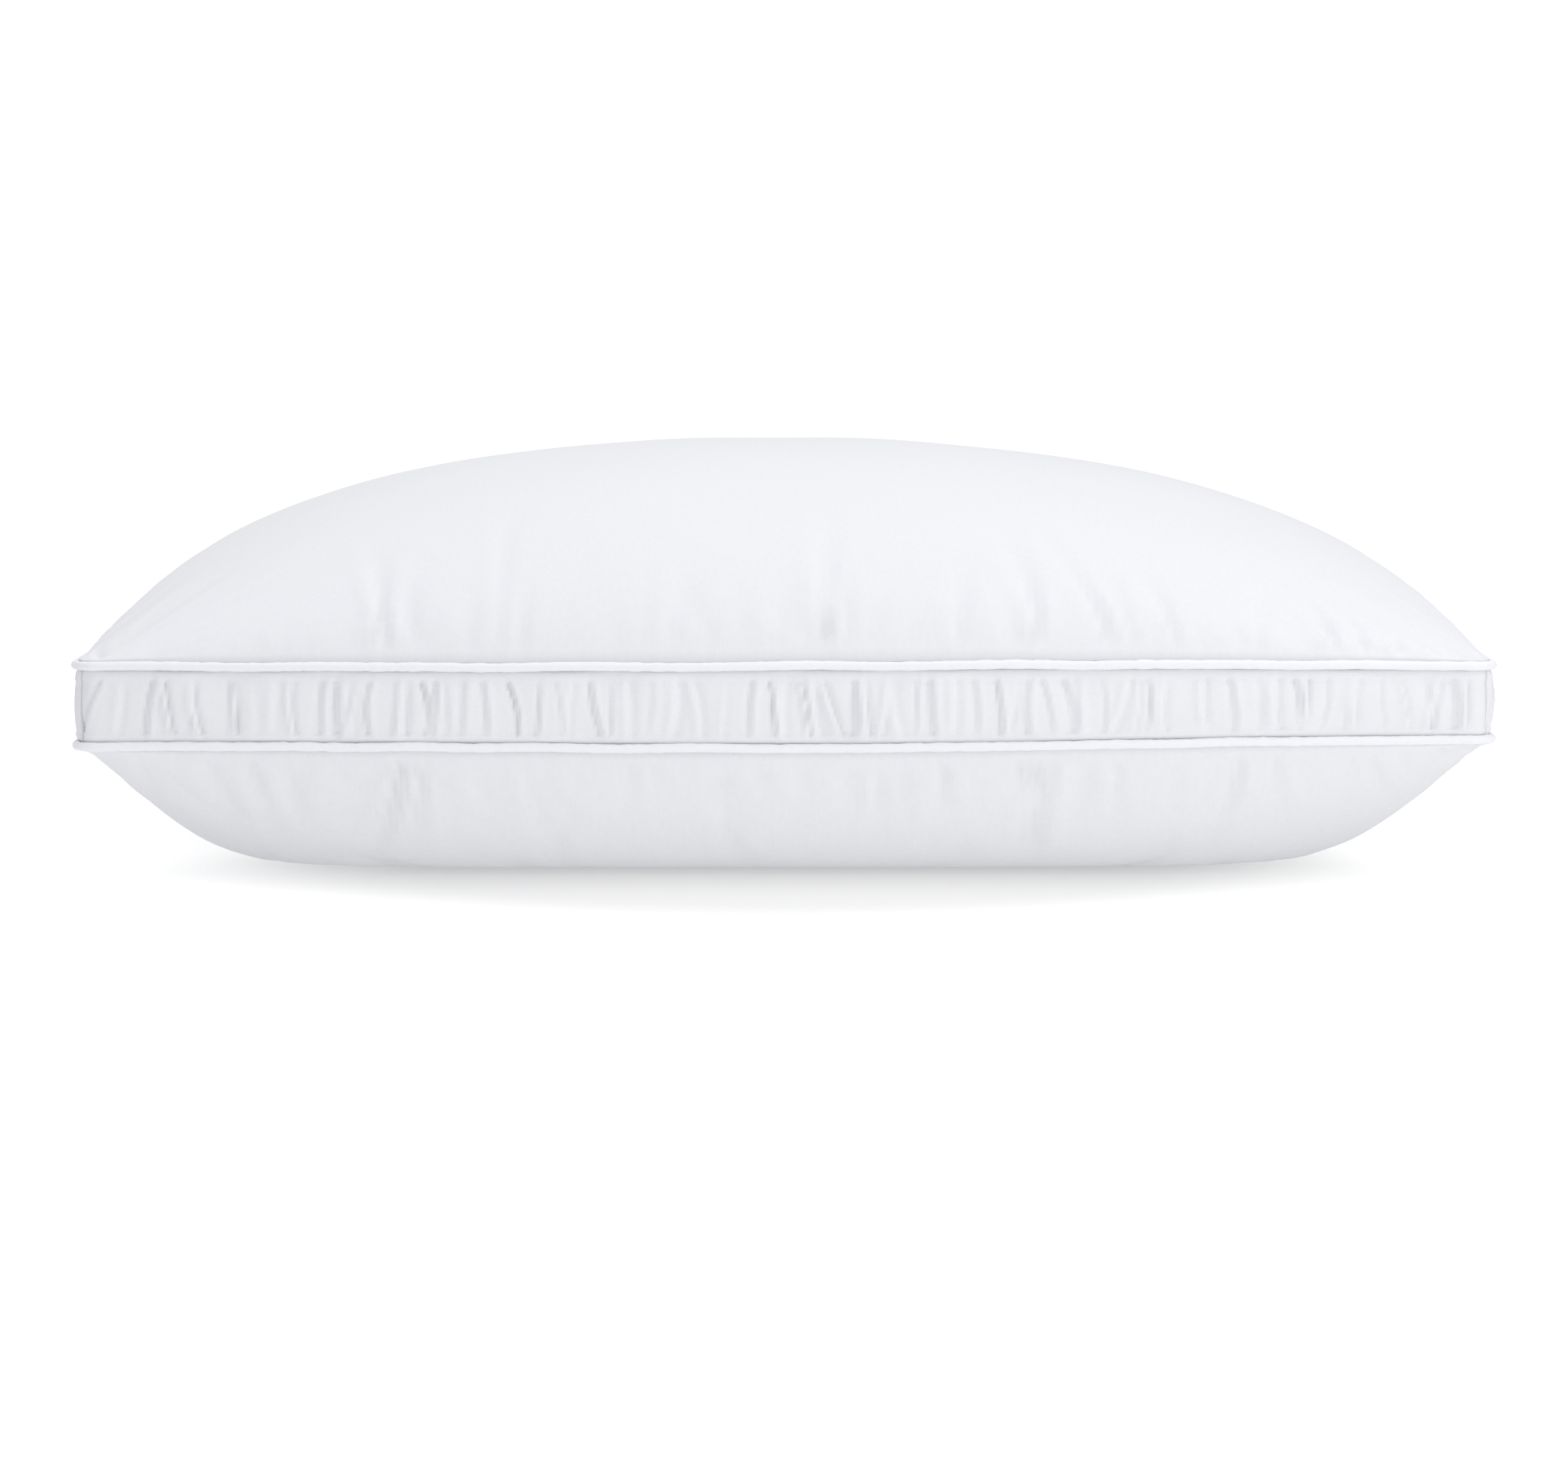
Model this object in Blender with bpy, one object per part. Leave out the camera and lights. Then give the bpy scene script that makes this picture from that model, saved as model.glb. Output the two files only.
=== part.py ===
"""A bed pillow with a gusset: two swollen panels, a boxing band of four strips between them, and a corded
edge in each of the two seams.

X runs along the pillow, Y from front to back and Z up. The origin is on the surface that the pillow lies on,
under the middle of it. Every piece keeps a small gap to its neighbours, where the sewn cloth would touch.

Bodies: base lies still, crown sinks into the stuffing, top_edge comes down as the gusset folds, and label
swings on the seam that it is sewn into.
"""

import math

import bmesh
import bpy
from mathutils import Vector

# Overall sizes, over the piping, in metres.
LENGTH = 0.690
DEPTH = 0.490
LOW_SEAM = 0.068  # height of the lower seam above the bed
GUSSET = 0.040  # from one seam to the other
CROWN_RISE = 0.095  # of the top panel above the upper seam
BELLY_DROP = 0.093  # of the bottom panel below the lower seam, if no bed flattened it
HIGH_SEAM = LOW_SEAM + GUSSET

# Cloth, cord and thread.
CLOTH = 0.0005
GAP = 0.0003
BEAD = 0.0023  # outer radius of the piping
CORD = BEAD - CLOTH - GAP  # radius of the cord inside it
THREAD = 0.0003  # radius
ALLOWANCE = 0.014  # how far the seam's plies reach in from the piping's centre line
STITCH_LINE = 0.0085  # and how far in they are sewn
STITCH_CORNER = 0.020  # radius at which the stitching goes round a corner
PANEL_WALL = 0.0008  # a panel's cloth, measured upright

MERGE = 1e-6
SHARP = math.radians(40)

# Plan of the seams: a rectangle with tight corners, drawn in a little between them.
CORNER = 0.018
SIDE_PINCH = 0.004
FRONT_PINCH = 0.007
HALF_X = LENGTH / 2 - BEAD
HALF_Y = DEPTH / 2 - BEAD
CORNER_STEPS = 4
FRONT_STEPS = 10
SIDE_STEPS = 8

# Each ply of a seam, as a height from the seam's own plane: flange, gap, then the panel's or the gusset's edge.
FLANGE_IN = GAP / 2
FLANGE_OUT = FLANGE_IN + CLOTH
PLY_IN = FLANGE_OUT + GAP
PLY_OUT = PLY_IN + CLOTH
PANEL_FOOT = 0.0027  # inset at which a panel or a gusset strip leaves the seam
GUSSET_BULGE = 0.0038  # how far a strip swells out past that foot, half way up

# How each panel swells: 1 - |u|**power, to the power fullness, with its peak a little to one side.
CROWN_SWELL = (2.2, 0.62, -0.046)
BELLY_SWELL = (4.7, 0.70, -0.035)
CROWN_RINGS = (1.0, 0.98, 0.95, 0.90, 0.82, 0.72, 0.58, 0.40, 0.20, 0.0)
BELLY_RINGS = (1.0, 0.98, 0.955, 0.93, 0.90, 0.86, 0.82, 0.77, 0.72, 0.66)
CREASE_RING = 0.99  # where a panel's inner face meets the ply that it is folded back on
BED_ROUND = 0.005  # how softly the belly turns onto the bed

# The stuffing stands clear of the seams' plies, and swells into the gusset between them.
FILL_EDGE = 0.0155
FILL_CORNER = 0.045
FILL_GAP = 0.0026
FILL_CLEAR = 0.005

# The label hangs from the lower seam, at the back.
LABEL_PLACE = 0.215  # along X
LABEL_WIDE = 0.032
LABEL_LONG = 0.050
LABEL_PLY = 0.0003
LABEL_HINGE_INSET = 0.0014
LABEL_HINGE_DROP = 0.0028

WHITE_COTTON = (0.86, 0.87, 0.89, 1.0)
CORD_COTTON = (0.82, 0.80, 0.75, 1.0)
POLYESTER_FIBRE = (0.90, 0.90, 0.90, 1.0)
SEWING_THREAD = (0.88, 0.88, 0.88, 1.0)
SATIN_RIBBON = (0.91, 0.91, 0.92, 1.0)


def clear_scene():
    for old in list(bpy.data.objects):
        bpy.data.objects.remove(old)


def cloth_material(name, colour, roughness):
    material = bpy.data.materials.new(name)
    material.use_nodes = True
    shader = material.node_tree.nodes["Principled BSDF"]
    shader.inputs["Base Color"].default_value = colour
    shader.inputs["Roughness"].default_value = roughness
    shader.inputs["Metallic"].default_value = 0.0
    return material


def empty_at(name, place):
    """The frame of one moving body. Its pieces are its children."""
    frame = bpy.data.objects.new(name, None)
    bpy.context.scene.collection.objects.link(frame)
    frame.location = place
    return frame


# --- plan and swell -----------------------------------------------------------------------------------------


def pinched(x, y):
    """Stuffing draws each side in a little between its corners."""
    return (
        x * (1 - SIDE_PINCH / HALF_X * (1 - (y / HALF_Y) ** 2)),
        y * (1 - FRONT_PINCH / HALF_Y * (1 - (x / HALF_X) ** 2)),
    )


def plan(inset, corner=None):
    """Points round the pillow, before it is pinched, this far inside the piping's centre line. They run
    anticlockwise from the middle of the front right corner, and keep their count at any inset."""
    radius = max(CORNER - inset, 0.002) if corner is None else corner
    centre_x, centre_y = HALF_X - inset - radius, HALF_Y - inset - radius
    points = []
    for turn in range(4):
        side_x = 1 if turn in (0, 1) else -1
        side_y = 1 if turn in (1, 2) else -1
        for step in range(CORNER_STEPS + 1):
            angle = math.pi / 2 * (turn - 1 + step / CORNER_STEPS)
            points.append(
                Vector((
                    side_x * centre_x + radius * math.cos(angle),
                    side_y * centre_y + radius * math.sin(angle),
                ))
            )
        steps = SIDE_STEPS if turn % 2 == 0 else FRONT_STEPS
        along_x, along_y = ((0, 1), (-1, 0), (0, -1), (1, 0))[turn]
        run = 2 * (centre_y if along_x == 0 else centre_x) / steps
        points += [points[-1] + Vector((along_x, along_y)) * run * i for i in range(1, steps)]
    start = CORNER_STEPS // 2
    return points[start:] + points[:start]


def level(inset, height, corner=None):
    """One loop round the pillow, at one inset and one height."""
    return [Vector((*pinched(*p), height)) for p in plan(inset, corner)]


def swell(u, v, shape):
    power, fullness, lean = shape
    u = (u - lean) / (1 - lean * u)
    return max(0.0, (1 - abs(u) ** power) * (1 - abs(v) ** power)) ** fullness


def swollen_ring(inset, ring, shape, corner=None):
    """A scaled copy of a loop, as (x, y, swell) for each point. The swell is 0 all along the outer loop."""
    made = []
    for p in plan(inset, corner):
        across, along = p.x / (HALF_X - inset), p.y / (HALF_Y - inset)
        square = ring / max(abs(across), abs(along))
        made.append((*pinched(*(p * ring)), swell(across * square, along * square, shape)))
    return made


def crown_loop(inset, ring, foot, rise, corner=None):
    return [Vector((x, y, foot + rise * s)) for x, y, s in swollen_ring(inset, ring, CROWN_SWELL, corner)]


def on_bed(height):
    """A height above the bed, kept from going through it, with a soft turn."""
    if height > BED_ROUND:
        return height
    return max(0.0, height + BED_ROUND) ** 2 / (4 * BED_ROUND)


def belly_loop(inset, ring, foot, floor, corner=None):
    """A loop of the bottom panel: it drops from foot, and lies on a floor."""
    return [
        Vector((x, y, floor + on_bed(foot - floor - BELLY_DROP * s)))
        for x, y, s in swollen_ring(inset, ring, BELLY_SWELL, corner)
    ]


# --- making solids --------------------------------------------------------------------------------------------


def first_loop(bm, points):
    verts = [bm.verts.new(p) for p in points]
    return verts, [bm.edges.new((a, b)) for a, b in zip(verts, verts[1:] + verts[:1])]


def next_loop(bm, verts, edges, points):
    """Extrudes a loop, and moves the new one to these points."""
    made = bmesh.ops.extrude_edge_only(bm, edges=edges)["geom"]
    fresh = {part for part in made if isinstance(part, bmesh.types.BMVert)}
    verts = [next(e.other_vert(v) for e in v.link_edges if e.other_vert(v) in fresh) for v in verts]
    edges = [part for part in made if isinstance(part, bmesh.types.BMEdge) and fresh.issuperset(part.verts)]
    for vert, point in zip(verts, points):
        vert.co = point
    return verts, edges


def lofted(name, loops, material, parent, cyclic=False):
    """One closed solid through loops of the same count. It is capped at both ends, unless it runs back to its
    first loop. A loop whose points all coincide becomes one point."""
    bm = bmesh.new()
    verts, edges = first_loop(bm, loops[0])
    ends = [edges]
    for loop in loops[1:] + loops[:1] * cyclic:
        verts, edges = next_loop(bm, verts, edges, loop)
    ends.append(edges)
    for end in ends:
        if not cyclic and max(edge.calc_length() for edge in end) > MERGE:
            bmesh.ops.contextual_create(bm, geom=end)
    bmesh.ops.remove_doubles(bm, verts=bm.verts, dist=MERGE)
    bmesh.ops.recalc_face_normals(bm, faces=bm.faces)
    # The same diagonals on a thin wall's two faces keep one from cutting through the other.
    bmesh.ops.triangulate(bm, faces=bm.faces, quad_method="SHORT_EDGE")
    mesh = bpy.data.meshes.new(name)
    bm.to_mesh(mesh)
    bm.free()
    mesh.shade_smooth()
    mesh.set_sharp_from_angle(angle=SHARP)
    finish(bpy.data.objects.new(name, mesh), material, parent)


def finish(piece, material, parent):
    """Gives a piece its material, and its body's frame as parent without moving it."""
    bpy.context.scene.collection.objects.link(piece)
    piece.data.materials.append(material)
    piece.parent = parent
    piece.matrix_parent_inverse.translation = -parent.location


def closed_tube(name, points, radius, sides_step, material, parent):
    """A round cord or thread that runs right round the pillow."""
    path = bpy.data.curves.new(name, "CURVE")
    path.dimensions = "3D"
    path.bevel_depth = radius
    path.bevel_resolution = sides_step
    spline = path.splines.new("POLY")
    spline.points.add(len(points) - 1)
    for knot, point in zip(spline.points, points):
        knot.co = (*point, 1.0)
    spline.use_cyclic_u = True
    finish(bpy.data.objects.new(name, path), material, parent)


# --- panels and stuffing --------------------------------------------------------------------------------------


def skin_of(outer, edge, shift):
    """The loops of a panel: its outer face from the middle out, its turned-in edge, and back by its inner face.
    Outer holds the outer face's loops from the seam inwards, and shift is the way to its inner face."""
    crease = [Vector((*(p * CREASE_RING).xy, edge[1][0].z)) for p in outer[0]]
    inner = [[p + Vector((0.0, 0.0, shift)) for p in loop] for loop in outer[1:]]
    return outer[::-1] + edge + [crease] + inner


def top_panel(material, parent):
    foot = HIGH_SEAM + PLY_IN
    outer = [crown_loop(PANEL_FOOT, ring, foot, CROWN_RISE) for ring in CROWN_RINGS]
    edge = [level(ALLOWANCE, foot), level(ALLOWANCE, foot + CLOTH)]
    lofted("top_panel", skin_of(outer, edge, -PANEL_WALL), material, parent)


def bottom_panel(material, parent):
    """The lower panel, pressed flat where it lies on the bed."""
    foot = LOW_SEAM - PLY_IN
    outer = [belly_loop(PANEL_FOOT, ring, foot, 0.0) for ring in BELLY_RINGS]
    edge = [level(ALLOWANCE, foot), level(ALLOWANCE, foot - CLOTH)]
    lofted("bottom_panel", skin_of(outer, edge, PANEL_WALL), material, parent)


def fibre_fill(material, parent):
    """The stuffing, as one soft mass: belly, a swelling into the gusset, and crown."""
    belly_foot = LOW_SEAM - FILL_GAP
    crown_foot = HIGH_SEAM + FILL_GAP
    belly = [
        belly_loop(FILL_EDGE, ring, belly_foot, FILL_CLEAR, FILL_CORNER)
        for ring in reversed(BELLY_RINGS)
    ]
    band_insets = ((0.0, FILL_EDGE), (0.12, 0.008), (0.3, 0.0042), (0.5, 0.0035), (0.7, 0.0042), (0.88, 0.008),
                   (1.0, FILL_EDGE))
    low, high = LOW_SEAM + FILL_GAP, HIGH_SEAM - FILL_GAP
    band = [level(inset, low + (high - low) * share, FILL_CORNER) for share, inset in band_insets]
    crown = [
        crown_loop(FILL_EDGE, ring, crown_foot, CROWN_RISE - FILL_GAP - FILL_CLEAR, FILL_CORNER)
        for ring in CROWN_RINGS
    ]
    lofted("fibre_fill", belly + band + crown, material, parent)


# --- piping, threads and gusset ------------------------------------------------------------------------------


def arc_points(radius, height, steps):
    """Round the bead from its flange at +height, by the outside, to its flange at -height, as (inset, height)."""
    start = math.asin(height / radius)
    turn = 2 * (math.pi - start)
    angles = [start + turn * i / steps for i in range(steps + 1)]
    return [(radius * math.cos(a), radius * math.sin(a)) for a in angles]


def piping_cover(name, seam, material, parent):
    """Bias tape folded round the cord, with its two edges meeting in the seam as a flange."""
    outside = arc_points(BEAD, FLANGE_OUT, 8)
    inside = arc_points(BEAD - CLOTH, FLANGE_IN, 6)[::-1]
    section = [
        (ALLOWANCE, FLANGE_OUT), *outside, (ALLOWANCE, -FLANGE_OUT),
        (ALLOWANCE, -FLANGE_IN), *inside, (ALLOWANCE, FLANGE_IN),
    ]
    loops = [level(inset, seam + height) for inset, height in section]
    lofted(name, loops, material, parent, cyclic=True)


def piping_cord(name, seam, material, parent):
    closed_tube(name, level(0.0, seam), CORD, 2, material, parent)


def seam_thread(name, height, material, parent):
    """The needle thread of a seam, lying on the panel's turned-in edge."""
    closed_tube(name, level(STITCH_LINE, height, STITCH_CORNER), THREAD, 1, material, parent)


def strip_section():
    """A gusset strip cut across, as (inset, height) from the lower seam: its skin, then its two turned-in
    edges and its inner face. The second list is the same section with its hollow closed, for the strip's ends."""
    foot, head = PLY_IN, GUSSET - PLY_IN
    rise = [0.0, 0.18, 0.5, 0.82, 1.0]
    skin = [(PANEL_FOOT - GUSSET_BULGE * math.sin(math.pi * t), foot + (head - foot) * t) for t in rise]
    lining = [
        (PANEL_FOOT + CLOTH - GUSSET_BULGE * math.sin(math.pi * t), foot + CLOTH + (head - foot - 2 * CLOTH) * t)
        for t in reversed(rise)
    ]
    edges_up = [(ALLOWANCE, head), (ALLOWANCE, head - CLOTH)]
    edges_down = [(ALLOWANCE, foot + CLOTH), (ALLOWANCE, foot)]
    shut = [(ALLOWANCE, height) for _, height in lining]
    return skin + edges_up + lining + edges_down, skin + edges_up + shut + edges_down


def gusset_strips(material, parent):
    """Four strips, each from the middle of one corner to the middle of the next. Each end is turned in, so
    that two strips lie face to face in the corner seam."""
    section, closed_section = strip_section()
    levels = [level(inset, LOW_SEAM + height) for inset, height in section]
    closed_levels = [level(inset, LOW_SEAM + height) for inset, height in closed_section]
    half = CORNER_STEPS // 2
    start = 0
    for name, steps in (
        ("gusset_right", SIDE_STEPS), ("gusset_back", FRONT_STEPS),
        ("gusset_left", SIDE_STEPS), ("gusset_front", FRONT_STEPS),
    ):
        count = len(levels[0])
        ends = start, start + steps + 2 * half
        inner = [[loop[i % count] for loop in levels] for i in range(ends[0] + 1, ends[1])]
        stations = []
        for end, beside in ((ends[0], ends[0] + 1), (ends[1], ends[1] - 1)):
            shut = [(loop[end % count], loop[beside % count]) for loop in closed_levels]
            open_ = [(loop[end % count], loop[beside % count]) for loop in levels]
            stations.append([
                [stepped(*pair, GAP / 2) for pair in shut],
                [stepped(*pair, GAP / 2 + CLOTH) for pair in shut],
                [stepped(*pair, GAP / 2 + CLOTH) for pair in open_],
            ])
        lofted(name, stations[0] + inner + stations[1][::-1], material, parent)
        start = ends[1]


def stepped(point, towards, distance):
    """A point this far along the way to its neighbour."""
    way = towards - point
    return point + way.normalized() * min(distance, way.length / 2)


def corner_threads(material, parent):
    """The thread of each corner seam, upright against the turned-in ends of two strips."""
    count = 2 * (2 * CORNER_STEPS + FRONT_STEPS + SIDE_STEPS)
    stitch = level(STITCH_LINE, 0.0)
    corners = (
        ("front_right_seam_thread", 0),
        ("back_right_seam_thread", CORNER_STEPS + SIDE_STEPS),
        ("back_left_seam_thread", 2 * CORNER_STEPS + SIDE_STEPS + FRONT_STEPS),
        ("front_left_seam_thread", 3 * CORNER_STEPS + 2 * SIDE_STEPS + FRONT_STEPS),
    )
    height = GUSSET - 2 * (PLY_OUT + 2 * GAP)
    for name, index in corners:
        place = stepped(stitch[index], stitch[(index + 1) % count], GAP / 2 + CLOTH + GAP + THREAD)
        bm = bmesh.new()
        bmesh.ops.create_cone(bm, cap_ends=True, segments=8, radius1=THREAD, radius2=THREAD, depth=height)
        mesh = bpy.data.meshes.new(name)
        bm.to_mesh(mesh)
        bm.free()
        piece = bpy.data.objects.new(name, mesh)
        piece.location = (place.x, place.y, LOW_SEAM + GUSSET / 2)
        finish(piece, material, parent)


def care_label(material, parent):
    """A blank ribbon folded once, with its fold hanging down. Its frame is the line that it swings on."""
    half_gap, outside = GAP / 2, GAP / 2 + LABEL_PLY
    top, fold = -GAP, -LABEL_LONG
    section = [
        (-outside, top), (-half_gap, top), (-half_gap, fold + LABEL_PLY), (half_gap, fold + LABEL_PLY),
        (half_gap, top), (outside, top), (outside, fold), (-outside, fold),
    ]
    place = parent.location
    loops = [
        [Vector((place.x + side * LABEL_WIDE / 2, place.y + y, place.z + z)) for y, z in section]
        for side in (-1, 1)
    ]
    lofted("care_label", loops, material, parent)


# --- assembly --------------------------------------------------------------------------------------------------


def label_line():
    """A point on the line where the label leaves the lower seam, at the back."""
    _, back = pinched(LABEL_PLACE, HALF_Y - LABEL_HINGE_INSET)
    return Vector((LABEL_PLACE, back, LOW_SEAM - LABEL_HINGE_DROP))


def build():
    clear_scene()
    cotton = cloth_material("percale_cotton", WHITE_COTTON, 0.85)
    piping = cloth_material("piping_cotton", WHITE_COTTON, 0.80)
    cord = cloth_material("filler_cord", CORD_COTTON, 0.90)
    fibre = cloth_material("polyester_fibre", POLYESTER_FIBRE, 0.95)
    thread = cloth_material("sewing_thread", SEWING_THREAD, 0.60)
    ribbon = cloth_material("satin_ribbon", SATIN_RIBBON, 0.45)

    base = empty_at("base", (0.0, 0.0, 0.0))
    top_edge = empty_at("top_edge", (0.0, 0.0, HIGH_SEAM))
    crown = empty_at("crown", (0.0, 0.0, HIGH_SEAM + CROWN_RISE))
    label = empty_at("label", label_line())

    bottom_panel(cotton, base)
    fibre_fill(fibre, base)
    piping_cover("bottom_piping_cover", LOW_SEAM, piping, base)
    piping_cord("bottom_piping_cord", LOW_SEAM, cord, base)
    seam_thread("bottom_seam_thread", LOW_SEAM - PLY_OUT - GAP - THREAD, thread, base)

    gusset_strips(cotton, top_edge)
    corner_threads(thread, top_edge)
    piping_cover("top_piping_cover", HIGH_SEAM, piping, top_edge)
    piping_cord("top_piping_cord", HIGH_SEAM, cord, top_edge)
    seam_thread("top_seam_thread", HIGH_SEAM + PLY_OUT + GAP + THREAD, thread, top_edge)

    top_panel(cotton, crown)
    care_label(ribbon, label)


build()
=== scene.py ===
import math

import bmesh
import bpy
import numpy as np
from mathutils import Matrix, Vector


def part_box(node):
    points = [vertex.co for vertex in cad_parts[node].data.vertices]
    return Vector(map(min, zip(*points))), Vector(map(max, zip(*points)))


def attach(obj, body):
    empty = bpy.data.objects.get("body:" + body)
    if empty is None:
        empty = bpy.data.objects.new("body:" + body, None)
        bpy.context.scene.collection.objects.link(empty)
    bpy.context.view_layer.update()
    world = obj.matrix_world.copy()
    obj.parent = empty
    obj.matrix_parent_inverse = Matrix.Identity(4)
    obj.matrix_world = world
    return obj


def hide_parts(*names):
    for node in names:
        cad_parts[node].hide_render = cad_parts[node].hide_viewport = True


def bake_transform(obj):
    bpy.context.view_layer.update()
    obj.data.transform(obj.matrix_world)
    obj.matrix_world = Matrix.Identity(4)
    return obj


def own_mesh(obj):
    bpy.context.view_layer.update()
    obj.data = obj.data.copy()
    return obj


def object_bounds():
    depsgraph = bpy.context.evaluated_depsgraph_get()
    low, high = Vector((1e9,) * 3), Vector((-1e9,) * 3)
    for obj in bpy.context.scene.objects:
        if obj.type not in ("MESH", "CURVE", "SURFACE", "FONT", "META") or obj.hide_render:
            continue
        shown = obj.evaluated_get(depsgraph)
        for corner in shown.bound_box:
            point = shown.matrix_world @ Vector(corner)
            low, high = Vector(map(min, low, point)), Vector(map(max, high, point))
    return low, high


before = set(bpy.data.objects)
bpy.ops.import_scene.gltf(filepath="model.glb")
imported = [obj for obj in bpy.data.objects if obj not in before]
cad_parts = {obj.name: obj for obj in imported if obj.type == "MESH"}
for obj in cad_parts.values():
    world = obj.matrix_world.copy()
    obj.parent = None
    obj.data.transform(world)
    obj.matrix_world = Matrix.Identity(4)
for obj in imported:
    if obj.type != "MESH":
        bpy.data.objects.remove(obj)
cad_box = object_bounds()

# --- Studio ---------------------------------------------------------------------------------------
# A white table in a white room. One softbox stands near, to the right, in front and above, and a
# weak one lies low on the same side. The camera looks from just above the table with a long lens.

TABLE_GAP = 0.0003
# The table's glow: to the pillow, an even light that stands in for bounce off the table; to the camera, a
# painted soft shadow under the pillow that fades to plain white further out.
TABLE_BOUNCE_GLOW = 0.345
TABLE_PAINTED_SHADOW_GLOW = 0.25
TABLE_GLOW_FAR = 0.62
middle = (cad_box[0] + cad_box[1]) / 2
scene = bpy.context.scene
scene.view_settings.view_transform = "Standard"


def linear(hex_colour):
    """An sRGB hex colour as linear RGBA."""
    channels = [int(hex_colour[i:i + 2], 16) / 255 for i in (0, 2, 4)]
    curve = [c / 12.92 if c <= 0.04045 else ((c + 0.055) / 1.055) ** 2.4 for c in channels]
    return (*curve, 1.0)


def add_node(tree, kind, links=None, **settings):
    """A shader node. A setting is one of its inputs or its own properties, with _ for a space, and
    a link goes from an input's name or number to the output that feeds it."""
    node = tree.nodes.new(kind)
    for name, value in settings.items():
        socket = node.inputs.get(name.replace("_", " "))
        if socket is not None:
            socket.default_value = value
        else:
            setattr(node, name, value)
    for name, output in (links or {}).items():
        tree.links.new(output, node.inputs[name])
    return node


def aimed(name, data, place, target):
    """An object at one place that looks at another."""
    made = bpy.data.objects.new(name, data)
    scene.collection.objects.link(made)
    made.location = place
    made.rotation_euler = (Vector(target) - Vector(place)).to_track_quat("-Z", "Y").to_euler()
    return made


def softbox(name, place, width, height, power, colour):
    """A rectangular lamp that the camera doesn't see."""
    lamp = bpy.data.lights.new(name, "AREA")
    lamp.shape = "RECTANGLE"
    lamp.size = width
    lamp.size_y = height
    lamp.energy = power
    lamp.color = linear(colour)[:3]
    aimed(name, lamp, place, middle).visible_camera = False


def white_room(light_strength):
    """The room is plain white to the camera, and lights the table a little less than that."""
    world = bpy.data.worlds.new("white_room")
    scene.world = world
    world.use_nodes = True
    tree = world.node_tree
    tree.nodes.clear()
    light = add_node(tree, "ShaderNodeBackground", Color=linear("FCFCFE"), Strength=light_strength)
    seen = add_node(tree, "ShaderNodeBackground", Color=linear("FFFFFF"), Strength=1.1)
    path = add_node(tree, "ShaderNodeLightPath")
    chosen = add_node(tree, "ShaderNodeMixShader",
                      {0: path.outputs["Is Camera Ray"], 1: light.outputs[0], 2: seen.outputs[0]})
    add_node(tree, "ShaderNodeOutputWorld", {"Surface": chosen.outputs[0]})


def table_top(name, half_side):
    """White laminate that glows though it is no lamp. To the camera the glow dips in the middle, which
    is a painted soft shadow of the pillow, and rises to plain white further out. To all other rays
    it glows evenly, which stands in for light bounced off the table onto the pillow. It can be seen
    through from below, so that the underside shows."""
    table = bmesh.new()
    bmesh.ops.create_grid(table, x_segments=1, y_segments=1, size=half_side)
    bmesh.ops.translate(table, verts=table.verts[:], vec=(0, 0, -TABLE_GAP))
    mesh = bpy.data.meshes.new(name)
    table.to_mesh(mesh)
    table.free()
    made = bpy.data.objects.new(name, mesh)
    scene.collection.objects.link(made)
    material = bpy.data.materials.new(name)
    material.use_nodes = True
    tree = material.node_tree
    shader = tree.nodes["Principled BSDF"]
    shader.inputs["Base Color"].default_value = linear("CFCFCE")
    shader.inputs["Roughness"].default_value = 0.9
    shader.inputs["Specular IOR Level"].default_value = 0.0
    shader.inputs["Emission Color"].default_value = linear("FFFFFF")
    place = add_node(tree, "ShaderNodeTexCoord")
    oval = add_node(tree, "ShaderNodeMapping", {"Vector": place.outputs["Object"]},
                    Location=(0.0, 0.4, 0.0), Scale=(1.2, 2.0, 1.0))
    far = add_node(tree, "ShaderNodeVectorMath", {0: oval.outputs[0]}, operation="LENGTH")
    # This ramp paints the pillow's soft shadow on the table: least glow under its front, full glow further
    # out.
    painted_shadow_glow = add_node(tree, "ShaderNodeMapRange", {"Value": far.outputs["Value"]},
                    interpolation_type="SMOOTHSTEP", From_Min=0.20, From_Max=0.42,
                    To_Min=TABLE_PAINTED_SHADOW_GLOW, To_Max=TABLE_GLOW_FAR)
    path = add_node(tree, "ShaderNodeLightPath")
    # The camera sees the ramp with its painted shadow, and every other ray sees the even glow that stands
    # in for bounce light.
    seen = add_node(tree, "ShaderNodeMix", {0: path.outputs["Is Camera Ray"], 3: painted_shadow_glow.outputs[0]})
    seen.inputs[2].default_value = TABLE_BOUNCE_GLOW
    tree.links.new(seen.outputs[0], shader.inputs["Emission Strength"])
    side = add_node(tree, "ShaderNodeNewGeometry")
    clear = add_node(tree, "ShaderNodeBsdfTransparent")
    one_sided = add_node(tree, "ShaderNodeMixShader",
                         {0: side.outputs["Backfacing"], 1: shader.outputs[0], 2: clear.outputs[0]})
    tree.links.new(one_sided.outputs[0], tree.nodes["Material Output"].inputs["Surface"])
    material.cycles.emission_sampling = "NONE"
    mesh.materials.append(material)


white_room(0.66)
table_top("table_top", 8.0)
softbox("overhead_softbox", (-0.2, 0.1, 2.1), 1.6, 1.6, 14.2, "FFFFFF")
softbox("key_softbox", (1.15, -0.85, 1.45), 0.9, 0.9, 4.9, "FFFFFF")
softbox("low_softbox", (0.5, -1.2, 0.25), 0.7, 0.3, 1.9, "FFFFFF")
softbox("blue_softbox", (-1.5, -1.2, 0.15), 0.6, 0.3, 0.35, "8CAAFF")

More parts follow.
